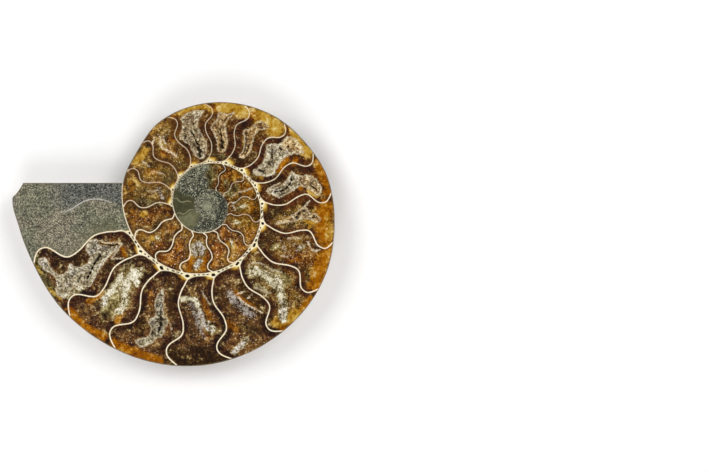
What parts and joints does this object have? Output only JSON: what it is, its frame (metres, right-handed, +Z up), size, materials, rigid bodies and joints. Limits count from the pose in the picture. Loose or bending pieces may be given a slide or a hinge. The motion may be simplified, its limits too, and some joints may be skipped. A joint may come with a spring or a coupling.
{
  "type": "ammonite fossil half",
  "caption": "Sawn and polished half of a coiled ammonite fossil: chambers with calcite and crystal hollows on the flat cut, ribbed shell behind.",
  "frame": {"origin": "centre of the bounding box, on the surface that the half lies on", "axes": "+Z up, out of the polished cut face; +X across the coil, away from the sawn mouth; +Y towards the side that the sawn mouth faces"},
  "size_m": [0.1051, 0.0862, 0.013],
  "materials": {
    "calcite_and_shell": "polished amber and brown calcite with cream chamber walls on the cut, grey set mud in the body chamber, satin shell behind",
    "druse_crystals": "small glittering grey and tan calcite crystals"
  },
  "bodies": {
    "root": {"ammonite_half": "calcite_and_shell", "crystal_crust_1": "druse_crystals", "crystal_crust_2": "druse_crystals", "crystal_crust_3": "druse_crystals", "crystal_crust_4": "druse_crystals", "crystal_crust_5": "druse_crystals", "crystal_crust_6": "druse_crystals", "crystal_crust_7": "druse_crystals", "crystal_crust_8": "druse_crystals"}
  },
  "joints": []
}
